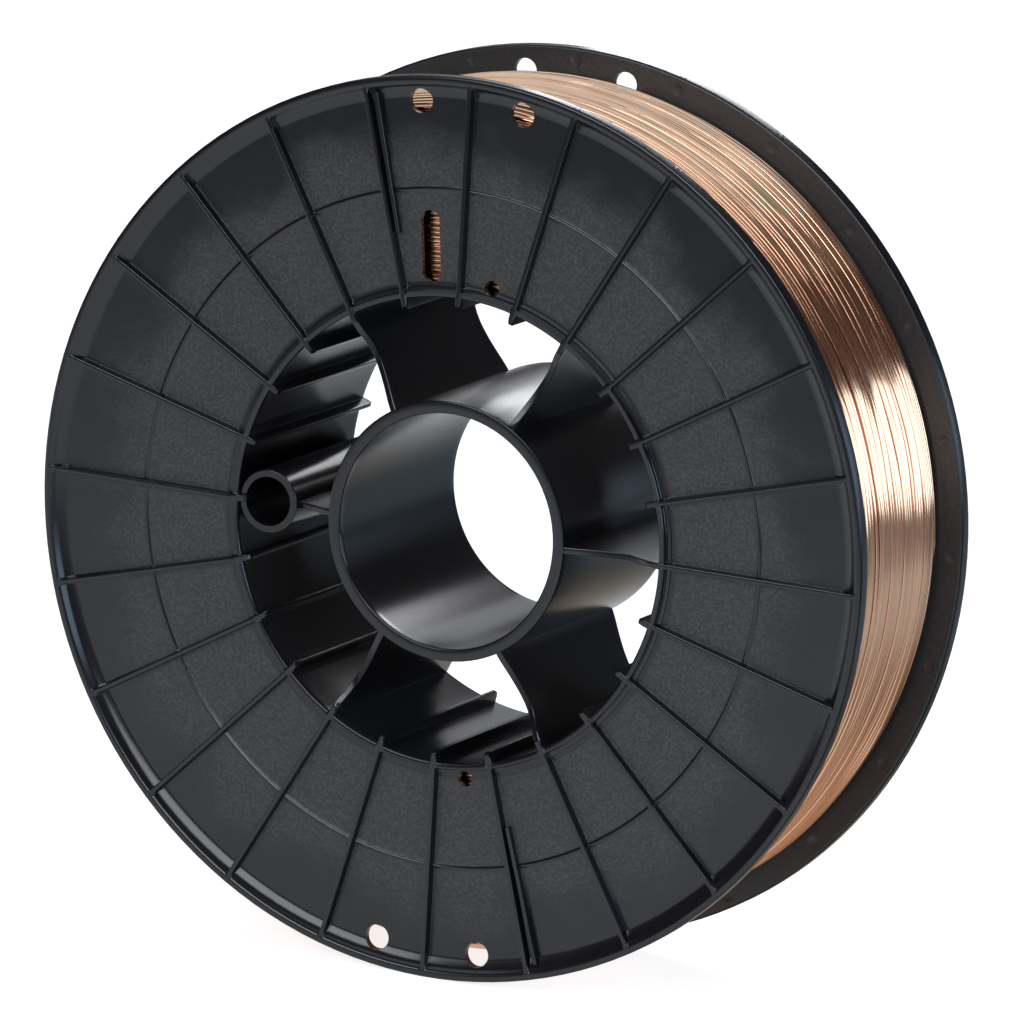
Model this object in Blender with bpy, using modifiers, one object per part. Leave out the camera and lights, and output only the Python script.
"""Plastic spool of copper-coated welding wire, 200 mm across and 55 mm wide.

The spool is one moulding: two ribbed flanges, a hollow barrel that carries the wire, and a hub
tube for the feeder's spindle, held in the barrel by six webs. It is modelled with its axis along
Z and its front flange up, and an empty stands it up: local X stays X, local Y becomes world +Z,
and the front face looks along world -Y. All lengths are in metres.
"""

import math

import bmesh
import bpy
from mathutils import Vector

MM = 0.001
WELD = 0.01 * MM  # points closer than this are one

# Overall sizes
RIM_RADIUS = 100 * MM
WIDTH = 55 * MM
SIDES = 72  # flats round the rim, one of them level at the bottom

# Flanges: a thin plate, recessed inside a rim lip, with a ridge part way out
FLANGE_DEPTH = 3.4 * MM
RECESS = 2.0 * MM
LIP_WIDTH = 1.6 * MM
COVE = 3.2 * MM
COVE_BEND = (0.55, 0.2)  # where its hollow bends, as shares of its width and of the recess
EDGE = 0.45 * MM
RIDGE_RADIUS = 75 * MM
RIDGE_WIDTH = 0.8 * MM
RIDGE_HEIGHT = 0.5 * MM

# Barrel that the wire is wound on, and the collar round its mouth
BARREL_BORE_RADIUS = 51.5 * MM
BARREL_WALL = 2.0 * MM
COLLAR_WIDTH = 1.4 * MM
COLLAR_DROP = 0.3 * MM  # how far the collar stays below the rim lip
STEP_WIDTH = 1.1 * MM
STEP_HEIGHT = 0.5 * MM

# Ribs: each is one plate that crosses a flange, runs through the barrel and crosses the other
RIB_COUNT = 24
RIB_THICKNESS = 1.2 * MM
RIB_DROP = 0.1 * MM  # how far a rib stays below the rim lip
RIB_REACH = 2.4 * MM  # how far it stands into the barrel
RIB_NOSE = 0.7 * MM  # chamfer where it turns into the barrel
ROOT = 0.6 * MM  # how deep a rib or web is sunk into what carries it

# A second, lower rib runs beside two of the ribs, on the front flange: the angle of its
# neighbour, and the side of it, 1 towards larger angles
TWIN_RIBS = ((105, -1), (-75, 1))
TWIN_RIB_THICKNESS = 0.9 * MM
TWIN_RIB_HEIGHT = 1.6 * MM
TWIN_RIB_OFFSET = 1.5 * MM  # from its neighbour's middle, at its inner end
TWIN_RIB_TURN = 1.6  # degrees that it leans away from its neighbour
TWIN_RIB_START = 12.5 * MM  # from the barrel's outside

# Hub tube
HUB_BORE_RADIUS = 26 * MM
HUB_WALL = 2.8 * MM
HUB_SIDES = 48

# Webs between hub and barrel, with a dip along both end edges
WEB_COUNT = 6
WEB_THICKNESS = 1.5 * MM
WEB_DIP = 3.3 * MM
WEB_DIP_RADIUS = 42 * MM
WEB_END_DROP = 0.2 * MM
WEB_CURVE_POINTS = 5

# Socket for the feeder's driving pin
SOCKET_RADIUS = 44.5 * MM
SOCKET_ANGLE = 180
SOCKET_BORE_RADIUS = 5.5 * MM
SOCKET_WALL = 1.6 * MM
SOCKET_RECESS = 1.5 * MM
SOCKET_SIDES = 24

# Holes in the flanges: the tie holes keep to the rim, the others to the barrel
TIE_HOLE_RADIUS = 2.8 * MM
TIE_HOLE_INSET = 5.8 * MM
TIE_HOLE_ANGLES = (97.5, 82.5, -97.5, -82.5)
START_HOLE_RADIUS = 1.75 * MM
START_HOLE_OFFSET = 1.5 * MM
START_HOLE_ANGLES = (82.5, -82.5)
HOLE_SIDES = 16
SLOT_WIDTH = 4.6 * MM
SLOT_LENGTH = 15.8 * MM
SLOT_OFFSET = 1.0 * MM
SLOT_ANGLE = 97.5
SLOT_LEAN = -2.5  # degrees off the radius
SLOT_END_POINTS = 6

# Winding: rings on its crown and ends stand for the turns, about eight turns to a ring
WINDING_INSET = 5 * MM  # how far the wire stays below the rim
FRONT_SAG = 2.4 * MM  # how much lower the wire lies beside a flange
FRONT_SAG_WIDTH = 8 * MM
REAR_SAG = 0.9 * MM
REAR_SAG_WIDTH = 5 * MM
CROWN_RINGS = 3
END_RINGS = 4
RING_DEPTH = 0.8 * MM
CLEARANCE = 0.3 * MM

# Surfaces: colour, roughness, metallic
BLACK_PLASTIC = ((0.012, 0.012, 0.013), 0.42, 0.0)
COPPERED_WIRE = ((0.68, 0.36, 0.24), 0.30, 1.0)

# Worked out from the sizes above
HALF_WIDTH = WIDTH / 2
PLATE_FACE = HALF_WIDTH - RECESS
GROOVE_HALF = HALF_WIDTH - FLANGE_DEPTH
BARREL_RADIUS = BARREL_BORE_RADIUS + BARREL_WALL
COLLAR_FACE = HALF_WIDTH - COLLAR_DROP
RIB_TOP = HALF_WIDTH - RIB_DROP
HUB_RADIUS = HUB_BORE_RADIUS + HUB_WALL
SOCKET_OUTER_RADIUS = SOCKET_BORE_RADIUS + SOCKET_WALL
TIE_HOLE_PLACE = RIM_RADIUS - TIE_HOLE_INSET
START_HOLE_PLACE = BARREL_RADIUS + START_HOLE_OFFSET
SLOT_PLACE = BARREL_RADIUS + SLOT_OFFSET + SLOT_LENGTH / 2
TWIN_RIB_INSIDE = BARREL_RADIUS + TWIN_RIB_START
WINDING_RADIUS = RIM_RADIUS - WINDING_INSET
PAST = 2 * MM  # how far a cutter runs past what it cuts

for leftover in list(bpy.data.objects):
    bpy.data.objects.remove(leftover)

model = bpy.data.collections.new("welding_wire_spool")
helpers = bpy.data.collections.new("helpers")
for group in (model, helpers):
    bpy.context.scene.collection.children.link(group)

axle = bpy.data.objects.new("axle", None)
axle.location = (0, 0, RIM_RADIUS)
axle.rotation_euler = (math.radians(90), 0, 0)
model.objects.link(axle)


def add(name, mesh, group=helpers):
    """Puts a mesh on the axle's frame. What isn't in the model only shapes it."""
    item = bpy.data.objects.new(name, mesh)
    item.parent = axle
    group.objects.link(item)
    if group is not model:
        item.hide_render = True
        item.display_type = "WIRE"
    return item


def subgroup(name):
    """A collection of helpers that one Boolean takes together."""
    group = bpy.data.collections.new(name)
    helpers.children.link(group)
    return group


def turned(name, profile, sides, group=helpers):
    """Turns a closed (radius, z) profile round the axis, with its flats on the true radii."""
    grow = 1 / math.cos(math.pi / sides)
    mesh = bpy.data.meshes.new(name)
    shape = bmesh.new()
    points = [shape.verts.new((radius * grow, 0, z)) for radius, z in profile]
    for first, second in zip(points, points[1:] + points[:1]):
        shape.edges.new((first, second))
    shape.to_mesh(mesh)
    shape.free()
    item = add(name, mesh, group)
    item.rotation_euler.z = math.pi / sides
    screw = item.modifiers.new("turn", "SCREW")
    screw.axis = "Z"
    screw.angle = math.tau
    screw.steps = sides
    screw.render_steps = sides
    screw.use_merge_vertices = True
    screw.merge_threshold = WELD
    return item


def mirrored(front):
    """A profile's front half, followed by the same points on the rear half."""
    return front + [(radius, -z) for radius, z in reversed(front)]


def plate(name, outline, thickness, group):
    """An upright plate through the axis: its outline is in radius and z."""
    curve = bpy.data.curves.new(name, "CURVE")
    curve.dimensions = "2D"
    curve.fill_mode = "BOTH"
    curve.extrude = thickness / 2
    line = curve.splines.new("POLY")
    line.points.add(len(outline) - 1)
    line.use_cyclic_u = True
    for point, (radius, z) in zip(line.points, outline):
        point.co = (radius, z, 0, 1)
    drawn = bpy.data.objects.new(name, curve)
    bpy.context.scene.collection.objects.link(drawn)
    graph = bpy.context.evaluated_depsgraph_get()
    mesh = bpy.data.meshes.new_from_object(drawn.evaluated_get(graph))
    bpy.data.objects.remove(drawn)
    closed = bmesh.new()
    closed.from_mesh(mesh)
    bmesh.ops.remove_doubles(closed, verts=closed.verts, dist=WELD)
    bmesh.ops.recalc_face_normals(closed, faces=closed.faces)
    closed.to_mesh(mesh)
    closed.free()
    item = add(name, mesh, group)
    item.rotation_euler = (math.radians(90), 0, 0)
    return item


def around(item, degrees, group):
    """A copy of an upright plate, turned to another angle round the axis."""
    copy = add(f"{item.name}_{degrees:g}", item.data, group)
    copy.rotation_euler = (math.radians(90), 0, math.radians(degrees))
    return copy


def drill(name, radius, place, degrees, low, high, group, sides=HOLE_SIDES):
    """A round rod along the axis, its middle at (place, degrees), from low to high."""
    mesh = bpy.data.meshes.new(name)
    shape = bmesh.new()
    grown = radius / math.cos(math.pi / sides)
    bmesh.ops.create_cone(
        shape, cap_ends=True, segments=sides, radius1=grown, radius2=grown, depth=high - low
    )
    shape.to_mesh(mesh)
    shape.free()
    item = add(name, mesh, group)
    turn = math.radians(degrees)
    item.location = (place * math.cos(turn), place * math.sin(turn), (low + high) / 2)
    return item


def combine(body, operation, group):
    """Adds or cuts all of one collection's shapes."""
    step = body.modifiers.new(group.name, "BOOLEAN")
    step.operation = operation
    step.solver = "EXACT"
    step.operand_type = "COLLECTION"
    step.collection = group


def finish(name, colour, roughness, metallic):
    """A plain surface for one sub-part."""
    material = bpy.data.materials.new(name)
    material.use_nodes = True
    shader = material.node_tree.nodes["Principled BSDF"]
    shader.inputs["Base Color"].default_value = (*colour, 1)
    shader.inputs["Roughness"].default_value = roughness
    shader.inputs["Metallic"].default_value = metallic
    return material


def flange_profile():
    """Front half of the moulding's section, from the barrel's mouth out over the flange."""
    lip_inside = RIM_RADIUS - LIP_WIDTH
    cove_end = lip_inside - COVE
    collar_outside = BARREL_BORE_RADIUS + COLLAR_WIDTH
    step_outside = collar_outside + STEP_WIDTH
    ridge_in = RIDGE_RADIUS - RIDGE_WIDTH / 2
    ridge_out = RIDGE_RADIUS + RIDGE_WIDTH / 2
    return [
        (BARREL_BORE_RADIUS, COLLAR_FACE - EDGE),
        (BARREL_BORE_RADIUS + EDGE, COLLAR_FACE),
        (collar_outside, COLLAR_FACE),
        (collar_outside, PLATE_FACE + STEP_HEIGHT),
        (step_outside, PLATE_FACE + STEP_HEIGHT),
        (step_outside, PLATE_FACE),
        (ridge_in, PLATE_FACE),
        (RIDGE_RADIUS, PLATE_FACE + RIDGE_HEIGHT),
        (ridge_out, PLATE_FACE),
        (cove_end, PLATE_FACE),
        (cove_end + COVE * COVE_BEND[0], PLATE_FACE + RECESS * COVE_BEND[1]),
        (lip_inside, HALF_WIDTH - EDGE),
        (lip_inside + EDGE, HALF_WIDTH),
        (RIM_RADIUS - EDGE, HALF_WIDTH),
        (RIM_RADIUS, HALF_WIDTH - EDGE),
        (RIM_RADIUS, GROOVE_HALF + EDGE),
        (RIM_RADIUS - EDGE, GROOVE_HALF),
        (BARREL_RADIUS, GROOVE_HALF),
    ]


def rib_outline():
    """One rib, as a plate that wraps both flanges and the barrel's inside."""
    inside = BARREL_BORE_RADIUS - RIB_REACH
    outside = RIM_RADIUS - LIP_WIDTH / 2
    front = [
        (BARREL_BORE_RADIUS + ROOT, PLATE_FACE - ROOT),
        (outside, PLATE_FACE - ROOT),
        (outside, RIB_TOP),
        (inside + RIB_NOSE, RIB_TOP),
        (inside, RIB_TOP - RIB_NOSE),
    ]
    return mirrored(front)


def web_outline():
    """One web: straight down from the hub's end to the dip, then curving up to the barrel."""
    top = HALF_WIDTH - WEB_END_DROP
    rise = BARREL_BORE_RADIUS - WEB_DIP_RADIUS
    front = [(HUB_RADIUS - ROOT, top), (HUB_RADIUS, top)]
    for step in range(WEB_CURVE_POINTS + 1):
        share = step / WEB_CURVE_POINTS
        lift = (1 - math.cos(math.pi * share)) / 2
        front.append((WEB_DIP_RADIUS + rise * share, top - WEB_DIP * (1 - lift)))
    front[-1] = (BARREL_BORE_RADIUS + ROOT, COLLAR_FACE - EDGE - ROOT)
    return mirrored(front)


def slot_outline():
    """A slot with round ends, lying along X."""
    bend = SLOT_WIDTH / 2
    reach = SLOT_LENGTH / 2 - bend
    points = []
    for side in (1, -1):
        for step in range(SLOT_END_POINTS + 1):
            turn = math.pi * (step / SLOT_END_POINTS - 0.5) + (0 if side > 0 else math.pi)
            points.append((side * reach + bend * math.cos(turn), bend * math.sin(turn)))
    return points


def ringed(start, end, rings):
    """A line's points after its start, with a hollow before each: rings seen from the side."""
    run = end - start
    inward = Vector((run.y, -run.x)).normalized() * RING_DEPTH
    points = []
    for ring in range(rings):
        points.append(start + run * (ring + 0.5) / rings + inward)
        points.append(start + run * (ring + 1) / rings)
    return points


def winding_profile():
    """The wound wire's section, from the barrel out along the front end and round to the rear."""
    half = GROOVE_HALF - CLEARANCE
    inside = BARREL_RADIUS + CLEARANCE
    front_foot = Vector((inside, half))
    front_top = Vector((WINDING_RADIUS - FRONT_SAG, half))
    front_crown = Vector((WINDING_RADIUS, half - FRONT_SAG_WIDTH))
    rear_crown = Vector((WINDING_RADIUS, REAR_SAG_WIDTH - half))
    rear_top = Vector((WINDING_RADIUS - REAR_SAG, -half))
    rear_foot = Vector((inside, -half))
    points = [front_foot, *ringed(front_foot, front_top, END_RINGS)]
    points += [front_crown, *ringed(front_crown, rear_crown, CROWN_RINGS)]
    points += [rear_top, *ringed(rear_top, rear_foot, END_RINGS)]
    return points


# Spool body
spool_body = turned("spool_body", mirrored(flange_profile()), SIDES, model)

ribs = subgroup("ribs")
rib = plate("rib", rib_outline(), RIB_THICKNESS, ribs)
for number in range(1, RIB_COUNT):
    around(rib, number * 360 / RIB_COUNT, ribs)
combine(spool_body, "UNION", ribs)

twin_ribs = subgroup("twin_ribs")
for degrees, side in TWIN_RIBS:
    outside = RIM_RADIUS - LIP_WIDTH - COVE / 2
    outline = [
        (TWIN_RIB_INSIDE, PLATE_FACE - ROOT),
        (outside, PLATE_FACE - ROOT),
        (outside, PLATE_FACE + TWIN_RIB_HEIGHT),
        (TWIN_RIB_INSIDE, PLATE_FACE + TWIN_RIB_HEIGHT),
    ]
    twin = plate(f"twin_rib_{degrees}", outline, TWIN_RIB_THICKNESS, twin_ribs)
    turn = math.radians(degrees)
    lean = math.radians(TWIN_RIB_TURN)
    twin.rotation_euler.z = turn + side * lean
    aside = side * (TWIN_RIB_OFFSET - TWIN_RIB_INSIDE * math.sin(lean))
    twin.location = (-aside * math.sin(turn), aside * math.cos(turn), 0)
combine(spool_body, "UNION", twin_ribs)

core = subgroup("core")
hub_section = [
    (HUB_BORE_RADIUS, HALF_WIDTH - EDGE),
    (HUB_BORE_RADIUS + EDGE, HALF_WIDTH),
    (HUB_RADIUS - EDGE, HALF_WIDTH),
    (HUB_RADIUS, HALF_WIDTH - EDGE),
]
turned("hub", mirrored(hub_section), HUB_SIDES, core)
web = plate("web", web_outline(), WEB_THICKNESS, core)
for number in range(1, WEB_COUNT):
    around(web, number * 360 / WEB_COUNT, core)
socket_end = HALF_WIDTH - SOCKET_RECESS
drill(
    "socket", SOCKET_OUTER_RADIUS, SOCKET_RADIUS, SOCKET_ANGLE, -socket_end, socket_end, core,
    SOCKET_SIDES,
)
combine(spool_body, "UNION", core)

cutters = subgroup("cutters")
through = HALF_WIDTH + PAST
drill(
    "socket_bore", SOCKET_BORE_RADIUS, SOCKET_RADIUS, SOCKET_ANGLE, -through, through, cutters,
    SOCKET_SIDES,
)
for degrees in TIE_HOLE_ANGLES:
    drill(
        f"tie_hole_{degrees:g}", TIE_HOLE_RADIUS, TIE_HOLE_PLACE, degrees, -through, through,
        cutters,
    )
groove_cut = GROOVE_HALF - PAST
for degrees in START_HOLE_ANGLES:
    drill(
        f"start_hole_{degrees:g}", START_HOLE_RADIUS, START_HOLE_PLACE, degrees, groove_cut,
        through, cutters,
    )
slot = plate("slot", slot_outline(), through - groove_cut, cutters)
turn = math.radians(SLOT_ANGLE)
slot.rotation_euler = (0, 0, turn + math.radians(SLOT_LEAN))
slot.location = (
    SLOT_PLACE * math.cos(turn),
    SLOT_PLACE * math.sin(turn),
    (through + groove_cut) / 2,
)
combine(spool_body, "DIFFERENCE", cutters)

# Winding
wire_coil = turned("wire_coil", winding_profile(), SIDES, model)

for item, surface in ((spool_body, BLACK_PLASTIC), (wire_coil, COPPERED_WIRE)):
    item.data.materials.append(finish(f"{item.name}_surface", *surface))
    item.data.shade_smooth()
